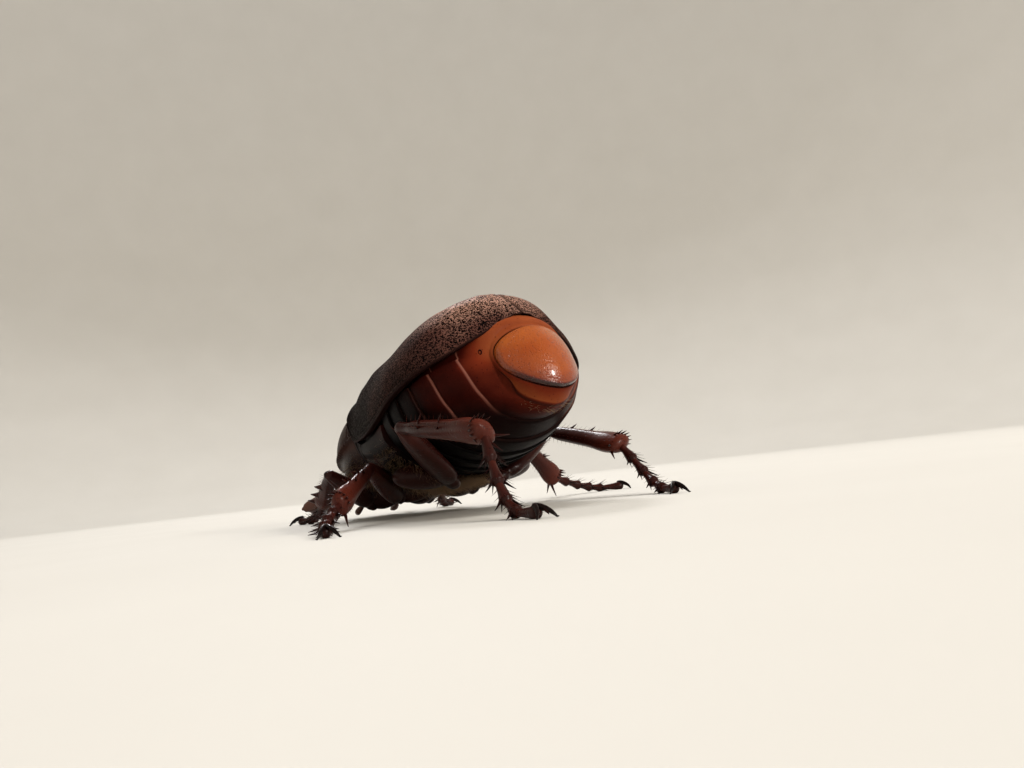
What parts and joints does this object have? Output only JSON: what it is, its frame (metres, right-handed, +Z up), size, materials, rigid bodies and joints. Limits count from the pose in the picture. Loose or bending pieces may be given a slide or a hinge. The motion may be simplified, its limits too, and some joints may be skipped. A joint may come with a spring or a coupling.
{
  "type": "lepidiota scarab beetle",
  "caption": "Still model of a stout brown chafer standing head down on its legs, with grained wing cases and a glossy amber plate at its rear.",
  "frame": {"origin": "on the floor, under the middle of the beetle's bounding box", "axes": "+Z up, +Y from the head to the tail, +X to the beetle's left"},
  "size_m": [0.0334, 0.0368, 0.0143],
  "materials": {
    "wing_case": "dark brown horn-like shell, finely grained and pitted, with a thin pinkish grey bloom",
    "shield": "blackish brown horn-like shell, finely pitted",
    "belly": "polished mahogany brown, darker towards the front",
    "pygidium": "polished amber orange with fine pits and a darker rim",
    "leg": "polished dark red-brown with stiff spines",
    "feeler": "satin red-brown",
    "eye": "glossy black with very fine facets"
  },
  "bodies": {
    "root": {"abdomen": "belly", "coxa_fore_left": "leg", "coxa_fore_right": "leg", "coxa_hind_left": "leg", "coxa_hind_right": "leg", "coxa_mid_left": "leg", "coxa_mid_right": "leg", "elytron_left": "wing_case", "elytron_right": "wing_case", "eye_left": "eye", "eye_right": "eye", "feeler_club_left": "feeler", "feeler_club_right": "feeler", "feeler_left": "feeler", "feeler_right": "feeler", "femur_fore_left": "leg", "femur_fore_right": "leg", "femur_hind_left": "leg", "femur_hind_right": "leg", "femur_mid_left": "leg", "femur_mid_right": "leg", "head": "shield", "palp_left": "feeler", "palp_right": "feeler", "prothorax": "shield", "pygidium": "pygidium", "scutellum": "shield", "tarsus_fore_left": "leg", "tarsus_fore_right": "leg", "tarsus_hind_left": "leg", "tarsus_hind_right": "leg", "tarsus_mid_left": "leg", "tarsus_mid_right": "leg", "thorax": "belly", "tibia_fore_left": "leg", "tibia_fore_right": "leg", "tibia_hind_left": "leg", "tibia_hind_right": "leg", "tibia_mid_left": "leg", "tibia_mid_right": "leg"}
  },
  "joints": []
}
